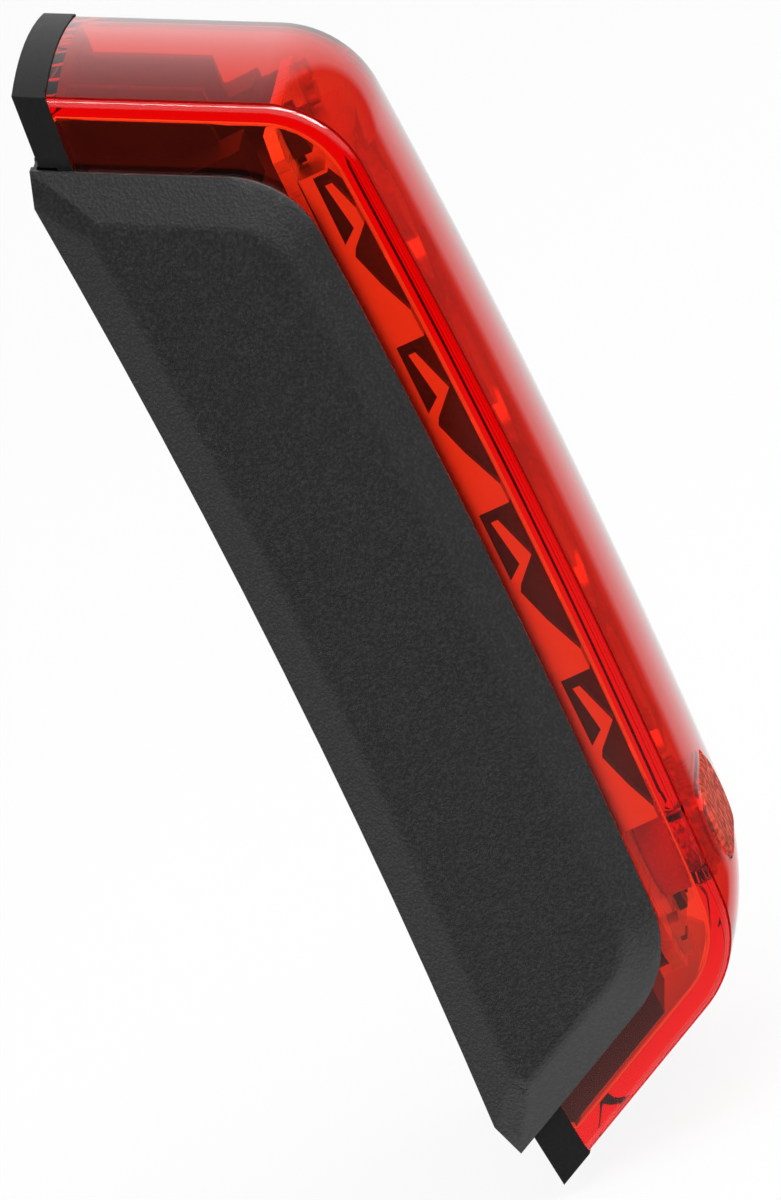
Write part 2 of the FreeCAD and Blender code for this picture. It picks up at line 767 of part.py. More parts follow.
def cup_profile():
    """Half section of one dished cup, a quarter ellipse in three flats from its throat to its mouth."""
    throat = size.led_radius + size.led_rim + size.cup_fit
    spread = led_pitch / 2 - size.cup_land - throat
    deep = tray_front - tray_back
    wall = [(tray_back - size.bay_floor, throat)]
    for step in range(4):
        turn = math.radians(30 * step)
        wall.append((tray_back + deep * (1 - math.cos(turn)), throat + spread * math.sin(turn)))
    out = tray_front + size.bay_floor
    return polygon([(wall[0][0], 0)] + wall + [(out, throat + spread), (out, 0)])


def make_reflector():
    """Plated tray with four dished cups and kite windows with bent ribs along both sides."""
    body = new_body("reflector")
    top = led_places[0] + size.tray_top
    foot = led_places[-1] - size.tray_foot
    cut_z = top - size.tray_chamfer
    shoulder = (bow(tray_front, cut_z), cut_z)
    crest = (shoulder[0] - size.tray_chamfer / 2, top)
    toe = (bow(tray_front, foot), foot)
    side = [
        line((tray_back, top), crest),
        line(crest, shoulder),
        arc(shoulder, (tray_front, 0.0), toe),
        line(toe, (tray_back, foot)),
        line((tray_back, foot), (tray_back, top)),
    ]
    tray_side = "(%s - Sizes.lens_wall - Sizes.reflector_gap)" % HALF_WIDTH
    tray = new_sketch(body, "TrayProfile", "YZ_Plane", side)
    feature(body, "Pad", "Tray", tray, "2 * " + tray_side, middle=True)
    profile = new_sketch(body, "CupProfile", "YZ_Plane", cup_profile())
    profile.AttachmentOffset = FreeCAD.Placement(Vector(0, led_places[0], 0), FreeCAD.Rotation())
    cup = turned(body, "Groove", "Cup", profile, "H_Axis")
    cups = body.newObject("PartDesign::LinearPattern", "Cups")
    cups.Originals = [cup]
    cups.Direction = (origin_part(body, "Z_Axis"), [""])
    cups.Reversed = True
    cups.Mode = "Spacing"
    cups.Offset = led_pitch
    cups.Occurrences = LED_COUNT
    body.Tip = cups
    doc.recompute()
    windows = []
    for place in led_places:
        windows += kite_outline(place + led_pitch / 2)
    kites = new_sketch(body, "KiteWindows", "YZ_Plane", windows, tray_side)
    cut = feature(body, "Pocket", "Kites", kites, "Sizes.kite_depth")
    mirror(body, "KitesFar", [cut])
    return body


def make_power_button():
    """Oval cap that stands out through the lens, with a lip that keeps it in."""
    body = new_body("power_button")
    lip = new_sketch(body, "LipPlan", "XZ_Plane",
                     stadium_edges(button_up, size.button_width + 2 * size.button_lip,
                                   size.button_height + 2 * size.button_lip), depth=boot_outside)
    feature(body, "Pad", "Lip", lip, "Sizes.lip_thick")
    cap = new_sketch(body, "CapPlan", "XZ_Plane",
                     stadium_edges(button_up, size.button_width, size.button_height), depth=boot_outside)
    front = bow(lens_depth + size.lens_crown + size.button_proud, button_up)
    stem = feature(body, "Pad", "Cap", cap, front - boot_outside)
    rim = []
    for number, edge in enumerate(stem.Shape.Edges, start=1):
        box = edge.BoundBox
        if box.YLength < size.slide_gap and box.YMin < size.slide_gap - front:
            rim.append("Edge%d" % number)
    bevel = body.newObject("PartDesign::Chamfer", "CapEdge")
    bevel.Base = (stem, rim)
    bevel.setExpression("Size", "Sizes.button_chamfer")
    body.Tip = bevel
    doc.recompute()
    return body


def make_button_boot():
    """Silicone boot that stands on the board over the switch and keeps water out."""
    body = new_body("button_boot")
    wide = size.button_width + size.boot_rim
    high = size.button_height + 2 * size.boot_rim
    outer = new_sketch(body, "BootPlan", "XZ_Plane", stadium_edges(button_up, wide, high), depth=board_front)
    feature(body, "Pad", "BootBlock", outer, boot_outside - board_front)
    inner = new_sketch(body, "BootRoom", "XZ_Plane",
                       stadium_edges(button_up, wide - 2 * size.boot_wall, high - 2 * size.boot_wall),
                       depth=boot_inside)
    feature(body, "Pocket", "BootHollow", inner, 2 * (boot_inside - board_front))
    return body


def make_switch():
    """Square tact switch on the board and the plunger in its top."""
    body = new_body("switch_body")
    half = size.switch_side / 2
    plan = new_sketch(body, "SwitchPlan", "XZ_Plane",
                      box_edges(-half, half, button_up - half, button_up + half), depth=board_front)
    feature(body, "Pad", "SwitchBlock", plan, "Sizes.switch_height")
    well = new_sketch(body, "SwitchWell", "XZ_Plane",
                      circle_edges(0, button_up, size.plunger_radius + size.slide_gap / 2),
                      depth=plunger_back)
    feature(body, "Pocket", "Well", well, "Sizes.plunger_height")
    plunger = new_body("switch_plunger")
    disc = new_sketch(plunger, "PlungerPlan", "XZ_Plane", circle_edges(0, button_up, size.plunger_radius),
                      depth=plunger_back - size.plunger_height / 2)
    feature(plunger, "Pad", "Plunger", disc, "1.5 * Sizes.plunger_height")
    return body, plunger


def make_driver_chip():
    """Three-legged driver chip at the board's top, on the other side from the screw."""
    front = board_front + size.chip_lift + size.chip_height
    low = Vector(-post_across, -front, post_up - size.chip_width / 2)
    chip = Part.makeBox(size.chip_length, size.chip_height, size.chip_width, low)
    legs = []
    for share, side in ((1, 1), (5, 1), (3, -1)):
        x = low.x + size.chip_length * share / 6 - size.leg_width / 2
        reach = size.chip_width / 2 + size.leg_reach
        z = post_up if side > 0 else post_up - reach
        corner = Vector(x, -board_front - size.leg_height, z)
        legs.append(Part.makeBox(size.leg_width, size.leg_height, reach, corner))
    driver = doc.addObject("Part::Feature", "driver_chip")
    driver.Label = "driver_chip"
    driver.Shape = chip.fuse(legs).removeSplitter()
    return driver


def make_chip_resistors():
    """Row of three chip resistors at the board's foot, away from the foot screw."""
    row = []
    for step in range(3):
        low = Vector(post_across - size.resistor_pitch * step - size.resistor_length,
                     -board_front - size.leg_height, -post_up - size.resistor_width / 2)
        row.append(Part.makeBox(size.resistor_length, size.leg_height, size.resistor_width, low))
    resistors = doc.addObject("Part::Feature", "chip_resistors")
    resistors.Label = "chip_resistors"
    resistors.Shape = Part.makeCompound(row)
    return resistors


def check_and_export(nodes):
    """Stops on any failed object or bad solid, then writes one STEP file per sub-part."""
    doc.recompute()
    for item in doc.Objects:
        if "Invalid" in item.State or "Error" in item.State:
            raise RuntimeError("%s failed: %s" % (item.Name, item.State))
    for node in nodes:
        if node.Shape.isNull() or not node.Shape.isValid() or not node.Shape.Solids:
            raise RuntimeError("%s has no valid solid" % node.Label)
    os.makedirs("parts", exist_ok=True)
    for node in nodes:
        node.Shape.exportStep("parts/%s.step" % node.Label)
        print("%s: %d solid(s), %.1f mm3" % (node.Label, len(node.Shape.Solids), node.Shape.Volume))


NODES = [make_rear_cover(), make_case_seal(), make_chassis(), make_lens_cover(), make_reflector(),
         make_circuit_board(), make_board_screws(), make_power_button(), make_button_boot()]
NODES += make_switch()
NODES += [make_driver_chip(), make_chip_resistors()]
NODES += [make_led(number, place) for number, place in enumerate(led_places, start=1)]
NODES += [make_cell("cell_left", -cell_across, 1), make_cell("cell_right", cell_across, -1)]
NODES += [make_contact("contact_plus", -cell_across, "tab"),
          make_contact("contact_minus", cell_across, "leaf"), make_bridge()]
check_and_export(NODES)
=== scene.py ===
import logging
import math
from contextlib import contextmanager
from dataclasses import dataclass, field
from enum import Enum
from typing import Callable, Dict, Iterator, List, Optional, Sequence, Tuple, Union

import bmesh
import bpy
from mathutils import Matrix, Vector


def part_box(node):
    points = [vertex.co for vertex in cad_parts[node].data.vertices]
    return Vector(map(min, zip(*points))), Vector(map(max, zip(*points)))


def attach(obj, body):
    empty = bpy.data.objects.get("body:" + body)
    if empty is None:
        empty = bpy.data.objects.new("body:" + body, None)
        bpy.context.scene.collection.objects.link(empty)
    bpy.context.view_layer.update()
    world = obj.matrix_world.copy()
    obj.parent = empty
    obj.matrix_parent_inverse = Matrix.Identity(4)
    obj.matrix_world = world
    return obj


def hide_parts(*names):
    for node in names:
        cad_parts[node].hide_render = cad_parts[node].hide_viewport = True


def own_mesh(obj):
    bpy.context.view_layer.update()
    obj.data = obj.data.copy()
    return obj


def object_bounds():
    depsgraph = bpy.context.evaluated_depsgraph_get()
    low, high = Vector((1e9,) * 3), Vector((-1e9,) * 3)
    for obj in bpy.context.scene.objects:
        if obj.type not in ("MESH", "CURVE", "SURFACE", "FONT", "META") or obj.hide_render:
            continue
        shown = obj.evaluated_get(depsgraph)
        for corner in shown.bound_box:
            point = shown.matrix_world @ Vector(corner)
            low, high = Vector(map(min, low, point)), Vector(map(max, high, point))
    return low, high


# Bike tail light, metres, +Z up, X across the width, lens towards -Y.
# Depth runs forward from the middle of the bowed back, so y = -depth.

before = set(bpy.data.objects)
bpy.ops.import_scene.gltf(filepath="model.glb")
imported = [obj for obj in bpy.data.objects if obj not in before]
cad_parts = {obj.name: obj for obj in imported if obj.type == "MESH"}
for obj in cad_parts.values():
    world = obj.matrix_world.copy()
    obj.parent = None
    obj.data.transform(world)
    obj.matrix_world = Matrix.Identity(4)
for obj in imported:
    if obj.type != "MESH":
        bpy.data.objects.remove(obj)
CAD_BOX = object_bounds()
log = logging.getLogger("tail_light")

MM = 0.001
TOUCH = 0.001 * MM  # points closer than this are one
WHITE = (1.0, 1.0, 1.0, 1.0)
ACROSS = (1, 0, 0)

Colour = Tuple[float, float, float]
Number = Union["Signal", float]
Point = Tuple[float, float]
Element = Union[bmesh.types.BMVert, bmesh.types.BMEdge, bmesh.types.BMFace]


# Shader arithmetic


class Signal:
    """A shader socket that takes part in arithmetic; each step adds one Math node."""

    def __init__(self, graph: "NodeGraph", socket: bpy.types.NodeSocket) -> None:
        """Wraps an output socket of a node in graph."""
        self.graph = graph
        self.socket = socket

    def __add__(self, other: Number) -> "Signal":
        """Sum of two signals or numbers."""
        return self.graph.maths("ADD", self, other)

    def __sub__(self, other: Number) -> "Signal":
        """Difference, this one first."""
        return self.graph.maths("SUBTRACT", self, other)

    def __rsub__(self, other: Number) -> "Signal":
        """Difference, the other one first."""
        return self.graph.maths("SUBTRACT", other, self)

    def __mul__(self, other: Number) -> "Signal":
        """Product of two signals or numbers."""
        return self.graph.maths("MULTIPLY", self, other)

    def __abs__(self) -> "Signal":
        """Size without its sign."""
        return self.graph.maths("ABSOLUTE", self, 0.0)

    def __gt__(self, other: Number) -> "Signal":
        """1 where this signal is above the other, else 0."""
        return self.graph.maths("GREATER_THAN", self, other)

    def __lt__(self, other: Number) -> "Signal":
        """1 where this signal is below the other, else 0."""
        return self.graph.maths("LESS_THAN", self, other)

    __radd__ = __add__
    __rmul__ = __mul__


class NodeGraph:
    """Adds nodes to one material's or world's tree and links them."""

    def __init__(self, tree: bpy.types.NodeTree) -> None:
        """Empties the tree that it will fill."""
        self.tree = tree
        tree.nodes.clear()

    def add(self, kind: str, settings: Optional[Dict] = None, inputs: Optional[Dict] = None,
            output: Union[int, str] = 0) -> Signal:
        """Adds one node.

        Args:
            kind: Blender's name for the node type.
            settings: properties set before anything is linked; "stops" fills a colour ramp.
            inputs: values or signals by socket name or number.
            output: which output socket comes back.

        Returns:
            The chosen output as a signal.
        """
        node = self.tree.nodes.new(kind)
        for key, value in (settings or {}).items():
            if key == "stops":
                self._fill_ramp(node.color_ramp, value)
            else:
                setattr(node, key, value)
        for key, value in (inputs or {}).items():
            if isinstance(value, Signal):
                self.tree.links.new(value.socket, node.inputs[key])
            else:
                node.inputs[key].default_value = value
        return Signal(self, node.outputs[output])

    @staticmethod
    def _fill_ramp(ramp: bpy.types.ColorRamp, stops: Sequence[Point]) -> None:
        """Sets the grey stops of a ramp.

        Args:
            ramp: the ramp to fill.
            stops: place and level of each stop.
        """
        while len(ramp.elements) < len(stops):
            ramp.elements.new(1.0)
        for element, (place, level) in zip(ramp.elements, stops):
            element.position = place
            element.color = (level, level, level, 1.0)

    def output(self, kind: str, **sockets: Signal) -> None:
        """Adds the output node that ends the tree.

        Args:
            kind: Blender's name for the node type.
            sockets: the signal for each of its sockets.
        """
        node = self.tree.nodes.new(kind)
        for name, signal in sockets.items():
            self.tree.links.new(signal.socket, node.inputs[name])

    def maths(self, operation: str, left: Number, right: Number) -> Signal:
        """Adds a Math node with this operation."""
        return self.add("ShaderNodeMath", {"operation": operation}, {0: left, 1: right})

    def clamp(self, value: Signal) -> Signal:
        """Holds a signal between 0 and 1."""
        return self.add("ShaderNodeClamp", inputs={"Value": value})

    def rise(self, value: Signal, start: float, slope: float) -> Signal:
        """0 up to start, and from there up to 1 at this slope."""
        return self.clamp((value - start) * slope)

    def fall(self, value: Signal, end: float, slope: float) -> Signal:
        """0 from end on, and before it up to 1 at this slope."""
        return self.clamp((end - value) * slope)

    def place(self) -> Signal:
        """Object coordinates in metres."""
        return self.add("ShaderNodeTexCoord", output="Object")

    def axes(self, place: Signal) -> List[Signal]:
        """Splits a place into its x, y and z."""
        node = self.add("ShaderNodeSeparateXYZ", inputs={0: place}).socket.node
        return [Signal(self, socket) for socket in node.outputs]

    def noise(self, place: Signal, grain: float, detail: float = 2.0) -> Signal:
        """Soft noise whose patches are about grain metres across."""
        return self.add("ShaderNodeTexNoise",
                        inputs={"Vector": place, "Scale": 1.0 / grain, "Detail": detail})

    def ramp(self, value: Signal, stops: Sequence[Point]) -> Signal:
        """Remaps a signal through grey stops."""
        return self.add("ShaderNodeValToRGB", {"stops": stops}, {"Fac": value})

    def blend(self, factor: Number, first: Union[Signal, Colour], second: Union[Signal, Colour]) -> Signal:
        """Mixes two colours.

        Args:
            factor: share of the second colour.
            first: colour where factor is 0.
            second: colour where factor is 1.

        Returns:
            The mixed colour.
        """
        inputs = {0: factor}
        for socket, colour in ((6, first), (7, second)):
            inputs[socket] = colour if isinstance(colour, Signal) else (*colour, 1.0)
        return self.add("ShaderNodeMix", {"data_type": "RGBA"}, inputs, output=2)

    def bump(self, height: Signal, distance: float) -> Signal:
        """Normal of a surface raised by height times distance."""
        return self.add("ShaderNodeBump", inputs={"Height": height, "Distance": distance})

    def principled(self, inputs: Dict) -> Signal:
        """Adds the main surface shader."""
        return self.add("ShaderNodeBsdfPrincipled", inputs=inputs)

    def mix_shaders(self, factor: Number, first: Signal, second: Signal) -> Signal:
        """Mixes two shaders, the second where factor is 1."""
        return self.add("ShaderNodeMixShader", inputs={0: factor, 1: first, 2: second})

    def ray_is(self, *kinds: str) -> Signal:
        """Tells rays apart.

        Args:
            kinds: names of Light Path sockets.

        Returns:
            1 for rays of any of these kinds, else 0.
        """
        path = self.add("ShaderNodeLightPath").socket.node
        total = Signal(self, path.outputs[kinds[0]])
        for kind in kinds[1:]:
            total = total + Signal(self, path.outputs[kind])
        return self.clamp(total) if len(kinds) > 1 else total


def around(middle: float, spread: float, signal: Signal) -> Signal:
    """A number that varies by spread about its middle while the signal runs from 0 to 1."""
    return signal * spread + (middle - spread / 2)


def scaled(colour: Colour, share: float) -> Colour:
    """A colour at this share of its strength."""
    return tuple(share * part for part in colour)


# Finishes


@dataclass(frozen=True)
class Finish:
    """A material with its own procedural surface."""

    name: str

    def build(self) -> bpy.types.Material:
        """Makes the material.

        Returns:
            The finished Blender material.
        """
        material = bpy.data.materials.new(self.name)
        material.use_nodes = True
        graph = NodeGraph(material.node_tree)
        sockets = {"Surface": self.surface(graph)}
        volume = self.volume(graph)
        if volume is not None:
            sockets["Volume"] = volume
        graph.output("ShaderNodeOutputMaterial", **sockets)
        return material

    def surface(self, graph: NodeGraph) -> Signal:
        """Adds the surface shader; each finish has its own."""
        raise NotImplementedError

    def volume(self, graph: NodeGraph) -> Optional[Signal]:
        """Adds a volume shader where the finish has one."""
        return None


@dataclass(frozen=True)
class GrainedPlastic(Finish):
    """Moulded plastic with a spark-eroded grain whose peaks are worn paler."""

    colour: Colour = (0.03, 0.03, 0.032)
    roughness: float = 0.6
    specular: float = 0.3
    grain: float = 0.18 * MM
    cloud: float = 3.96 * MM
    depth: float = 0.03 * MM
    contrast: float = 1.4

    def surface(self, graph: NodeGraph) -> Signal:
        """Grain in the bump, the roughness and the colour, clouding in the colour.

        Args:
            graph: the material's nodes.

        Returns:
            The surface shader.
        """
        place = graph.place()
        fine = graph.noise(place, self.grain, 3.0)
        clouds = graph.noise(place, self.cloud, 4.0)
        base = graph.blend(clouds, scaled(self.colour, 0.7), scaled(self.colour, 1.2))
        peaks = graph.ramp(fine, ((0.45, 0.0), (0.75, 1.0)))
        return graph.principled({
            "Base Color": graph.blend(peaks, base, scaled(self.colour, self.contrast)),
            "Roughness": around(self.roughness, 0.16, fine),
            "Specular IOR Level": self.specular,
            "Normal": graph.bump(fine, self.depth),
        })


@dataclass(frozen=True)
class ClearTint(Finish):
    """Clear coloured plastic that darkens with its thickness, as polycarbonate does."""

    absorbed: Colour = (6.0, 1080.0, 1600.0)
    density: float = 2000.0
    bend: float = 1.49
    ripple: float = 6.0 * MM
    waviness: float = 0.004 * MM

    def surface(self, graph: NodeGraph) -> Signal:
        """Glass for the eye and an open window for lamp light, so that the parts inside are lit.

        Args:
            graph: the material's nodes.

        Returns:
            The surface shader.
        """
        ripples = graph.noise(graph.place(), self.ripple, 1.0)
        glass = graph.principled({
            "Base Color": WHITE,
            "Roughness": 0.015,
            "IOR": self.bend,
            "Transmission Weight": 1.0,
            "Normal": graph.bump(ripples, self.waviness),
        })
        window = graph.add("ShaderNodeBsdfTransparent", inputs={"Color": WHITE})
        return graph.mix_shaders(graph.ray_is("Is Shadow Ray"), glass, window)

    def volume(self, graph: NodeGraph) -> Optional[Signal]:
        """Takes each colour's share away per metre."""
        kept = tuple(1.0 - part / self.density for part in self.absorbed)
        return graph.add("ShaderNodeVolumeAbsorption",
                         inputs={"Color": (*kept, 1.0), "Density": self.density})


@dataclass(frozen=True)
class PlatedPlastic(Finish):
    """Vacuum plated plastic, rippled a little where the tray has shrunk."""

    colour: Colour = (0.93, 0.93, 0.94)
    metallic: float = 1.0
    roughness: float = 0.2
    ripple: float = 1.1 * MM

    def surface(self, graph: NodeGraph) -> Signal:
        """Ripple in the colour, the roughness and the bump.

        Args:
            graph: the material's nodes.

        Returns:
            The surface shader.
        """
        ripples = graph.noise(graph.place(), self.ripple)
        return graph.principled({
            "Base Color": graph.blend(ripples, scaled(self.colour, 0.85), self.colour),
            "Metallic": self.metallic,
            "Roughness": around(self.roughness, 0.1, ripples),
            "Normal": graph.bump(ripples, 0.01 * MM),
        })


@dataclass(frozen=True)
class SoftCap(Finish):
    """Translucent rubbery button with a sparkling moulded texture."""

    colour: Colour = (0.90, 0.10, 0.05)
    pebble: float = 0.45 * MM
    height: float = 0.22 * MM

    def surface(self, graph: NodeGraph) -> Signal:
        """Coarse pebbles in the bump, paler and glossier on their tops.

        Args:
            graph: the material's nodes.

        Returns:
            The surface shader.
        """
        pebbles = graph.noise(graph.place(), self.pebble, 3.0)
        tops = graph.ramp(pebbles, ((0.42, 0.0), (0.62, 1.0)))
        return graph.principled({
            "Base Color": graph.blend(tops, scaled(self.colour, 0.3), self.colour),
            "Roughness": 0.55 - tops * 0.25,
            "Specular IOR Level": 0.3,
            "Subsurface Weight": 0.4,
            "Subsurface Scale": 1.5 * MM,
            "Normal": graph.bump(pebbles, self.height),
        })


@dataclass(frozen=True)
class BoardMask(Finish):
    """Solder mask over copper traces and pads."""

    mask: Colour = (0.80, 0.80, 0.77)
    copper: Colour = (0.74, 0.73, 0.68)
    per_metre: float = 420.0

    def surface(self, graph: NodeGraph) -> Signal:
        """Traces as a coarse brick pattern, slightly raised under the mask.

        Args:
            graph: the material's nodes.

        Returns:
            The surface shader.
        """
        upright = (math.pi / 2, 0.0, 0.0)
        turned = graph.add("ShaderNodeMapping", inputs={"Vector": graph.place(), "Rotation": upright})
        traces = graph.add("ShaderNodeTexBrick", output="Fac", inputs={
            "Vector": turned, "Scale": self.per_metre, "Mortar Size": 0.09, "Mortar Smooth": 0.2,
            "Brick Width": 1.6, "Row Height": 0.7})
        return graph.principled({
            "Base Color": graph.blend(traces, self.mask, self.copper),
            "Roughness": 0.32 - traces * 0.05,
            "Coat Weight": 0.25,
            "Normal": graph.bump(traces, 0.03 * MM),
        })


@dataclass(frozen=True)
class BrushedMetal(Finish):
    """Sheet or turned metal with fine lines along one axis."""

    colour: Colour = (0.72, 0.72, 0.70)
    roughness: float = 0.28
    line: float = 0.1 * MM
    stretch: Tuple[float, float, float] = (1.0, 1.0, 0.05)

    def surface(self, graph: NodeGraph) -> Signal:
        """Stretched noise in the roughness, the colour and a faint bump.

        Args:
            graph: the material's nodes.

        Returns:
            The surface shader.
        """
        drawn = graph.add("ShaderNodeMapping", inputs={"Vector": graph.place(), "Scale": self.stretch})
        lines = graph.noise(drawn, self.line)
        return graph.principled({
            "Base Color": graph.blend(lines, scaled(self.colour, 0.75), self.colour),
            "Metallic": 1.0,
            "Roughness": around(self.roughness, 0.14, lines),
            "Normal": graph.bump(lines, 0.004 * MM),
        })


@dataclass(frozen=True)
class CellJacket(Finish):
    """Shrink sleeve in two plain bands with bare steel at both ends."""

    body: Colour = (0.05, 0.10, 0.13)
    band: Colour = (0.52, 0.53, 0.52)
    steel: Colour = (0.72, 0.72, 0.71)
    split: float = 8.0 * MM
    bare_end: float = 21.9 * MM

    def surface(self, graph: NodeGraph) -> Signal:
        """Bands by height, with faint wrinkles in the film.

        Args:
            graph: the material's nodes.

        Returns:
            The surface shader.
        """
        place = graph.place()
        _, _, z = graph.axes(place)
        ends = abs(z) > self.bare_end
        wrinkles = graph.noise(place, 2.0 * MM, 3.0)
        sleeve = graph.blend(z > self.split, self.body, self.band)
        return graph.principled({
            "Base Color": graph.blend(ends, sleeve, self.steel),
            "Metallic": ends,
            "Roughness": around(0.27, 0.1, wrinkles),
            "Normal": graph.bump(wrinkles, 0.02 * MM),
        })


@dataclass(frozen=True)
class ClearDome(Finish):
    """Clear epoxy of a light emitting diode over a pale seat."""

    colour: Colour = (0.9, 0.88, 0.85)
    pale: Colour = (0.98, 0.96, 0.9)

    def surface(self, graph: NodeGraph) -> Signal:
        """Glassy dome with a faint haze.

        Args:
            graph: the material's nodes.

        Returns:
            The surface shader.
        """
        haze = graph.noise(graph.place(), 0.8 * MM)
        return graph.principled({
            "Base Color": graph.blend(haze, self.colour, self.pale),
            "Roughness": around(0.08, 0.06, haze),
            "Transmission Weight": 0.55,
            "Coat Weight": 0.6,
            "Normal": graph.bump(haze, 0.01 * MM),
        })


@dataclass(frozen=True)
class FloorPaint(Finish):
    """Matt white floor that the eye, also through the lens, sees almost as pure white."""

    colour: Colour = (0.92, 0.92, 0.92)
    glow: float = 0.9

    def surface(self, graph: NodeGraph) -> Signal:
        """Paint that takes shadows, under a white glow that lights nothing.

        Args:
            graph: the material's nodes.

        Returns:
            The surface shader.
        """
        paint = graph.principled({"Base Color": (*self.colour, 1.0), "Roughness": 0.9})
        white = graph.add("ShaderNodeEmission", inputs={"Color": WHITE, "Strength": 1.0})
        seen = graph.ray_is("Is Camera Ray", "Is Glossy Ray", "Is Transmission Ray")
        return graph.mix_shaders(seen * self.glow, paint, white)


# Modelling by operators


def hold(piece: bpy.types.Object, *others: bpy.types.Object) -> None:
    """Selects these pieces alone.

    Args:
        piece: the one that becomes active.
        others: more pieces that the next operator takes in.
    """
    for other in bpy.context.selected_objects:
        other.select_set(False)
    for held in (piece, *others):
        held.select_set(True)
    bpy.context.view_layer.objects.active = piece


@contextmanager
def editing(piece: bpy.types.Object) -> Iterator[None]:
    """Opens a piece in edit mode with nothing selected and closes it afterwards.

    Args:
        piece: the mesh object to edit.
    """
    hold(piece)
    bpy.ops.object.mode_set(mode="EDIT")
    bpy.ops.mesh.select_all(action="DESELECT")
    yield
    bpy.ops.object.mode_set(mode="OBJECT")


class Kind(Enum):
    """What a selection picks: its list in the mesh and its edit mode."""

    VERTS = ("verts", "VERT")
    EDGES = ("edges", "EDGE")
    FACES = ("faces", "FACE")


def pick(kind: Kind, test: Callable[[Element], bool]) -> int:
    """Selects what passes a test in edit mode, and nothing else.

    Args:
        kind: points, edges or faces.
        test: says whether one of them is wanted.

    Returns:
        How many were picked.
    """
    items, mode = kind.value
    bpy.ops.mesh.select_all(action="DESELECT")
    bpy.ops.mesh.select_mode(type=mode)
    mesh = bpy.context.edit_object.data
    work = bmesh.from_edit_mesh(mesh)
    found = [item for item in getattr(work, items) if test(item)]
    for item in found:
        item.select_set(True)
    work.select_flush_mode()
    bmesh.update_edit_mesh(mesh)
    return len(found)


def draw_out(step: Vector) -> None:
    """Extrudes what is selected and moves it by step."""
    bpy.ops.mesh.extrude_region_move(TRANSFORM_OT_translate={"value": step})


def merge_all(distance: float) -> None:
    """Selects the whole mesh and joins points that are closer than distance."""
    bpy.ops.mesh.select_all(action="SELECT")
    bpy.ops.mesh.remove_doubles(threshold=distance)


def lay_row(name: str, places: Sequence[Vector]) -> bpy.types.Object:
    """Adds a grid one strip wide, drops one side and lays the other along the given places.

    Args:
        name: name of the new piece.
        places: where the points of the row go, in order across x.

    Returns:
        The new object, a single row of edges.
    """
    bpy.ops.mesh.primitive_grid_add(x_subdivisions=len(places) - 1, y_subdivisions=1, size=1.0)
    piece = bpy.context.active_object
    piece.name = name
    with editing(piece):
        pick(Kind.VERTS, lambda vert: vert.co.y > 0)
        bpy.ops.mesh.delete(type="VERT")
        work = bmesh.from_edit_mesh(piece.data)
        for vert, place in zip(sorted(work.verts, key=lambda v: v.co.x), places):
            vert.co = place
        bmesh.update_edit_mesh(piece.data)
    return piece


def finish_modifier(piece: bpy.types.Object, kind: str, **settings: object) -> None:
    """Adds a modifier with these settings and applies it.

    Args:
        piece: the object to change.
        kind: Blender's name for the modifier type.
        settings: the modifier's properties.
    """
    hold(piece)
    modifier = piece.modifiers.new(kind.title(), kind)
    for key, value in settings.items():
        setattr(modifier, key, value)
    bpy.ops.object.modifier_apply(modifier=modifier.name)


def soften(piece: bpy.types.Object, width: float, segments: int, angle: float) -> None:
    """Rounds the edges where two faces turn by more than angle degrees."""
    finish_modifier(piece, "BEVEL", width=width, segments=segments, limit_method="ANGLE",
                    angle_limit=math.radians(angle), use_clamp_overlap=True)


def carve(piece: bpy.types.Object, cutter: bpy.types.Object) -> None:
    """Cuts the cutter's shape out of a piece and throws the cutter away."""
    finish_modifier(piece, "BOOLEAN", operation="DIFFERENCE", object=cutter, solver="EXACT")
    bpy.data.objects.remove(cutter)


def smooth(piece: bpy.types.Object, angle: float) -> None:
    """Shades a piece smooth except over edges sharper than angle degrees."""
    hold(piece)
    bpy.ops.object.shade_smooth_by_angle(angle=math.radians(angle))


def dress(piece: bpy.types.Object, material: bpy.types.Material) -> None:
    """Gives a piece or a CAD node one material."""
    piece.data.materials.clear()
    piece.data.materials.append(material)


def merged_copy(node: str, name: str) -> bpy.types.Object:
    """Copies a CAD node's mesh, joins its loose triangles and drops the lines across flat faces.

    Args:
        node: name of the CAD node.
        name: name of the new piece.

    Returns:
        The copy, with whole faces.
    """
    piece = bpy.data.objects.new(name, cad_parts[node].data.copy())
    bpy.context.scene.collection.objects.link(piece)
    with editing(piece):
        bpy.ops.mesh.customdata_custom_splitnormals_clear()
        merge_all(0.002 * MM)
        bpy.ops.mesh.dissolve_limited(angle_limit=math.radians(0.15))
    return piece


def prism(name: str, outline: Sequence[Point], side: float, across: float) -> bpy.types.Object:
    """Adds a straight block from its outline in the side view.

    Args:
        name: name of the piece.
        outline: depth and height of each corner, in order.
        side: x where the block starts.
        across: how far it runs along x.

    Returns:
        The closed block.
    """
    block = lay_row(name, [Vector((side, -depth, height)) for depth, height in outline])
    with editing(block):
        bpy.ops.mesh.select_all(action="SELECT")
        bpy.ops.mesh.edge_face_add()
        draw_out(Vector((across, 0.0, 0.0)))
        bpy.ops.mesh.select_all(action="SELECT")
        bpy.ops.mesh.normals_make_consistent(inside=False)
    return block


# Sub-assemblies


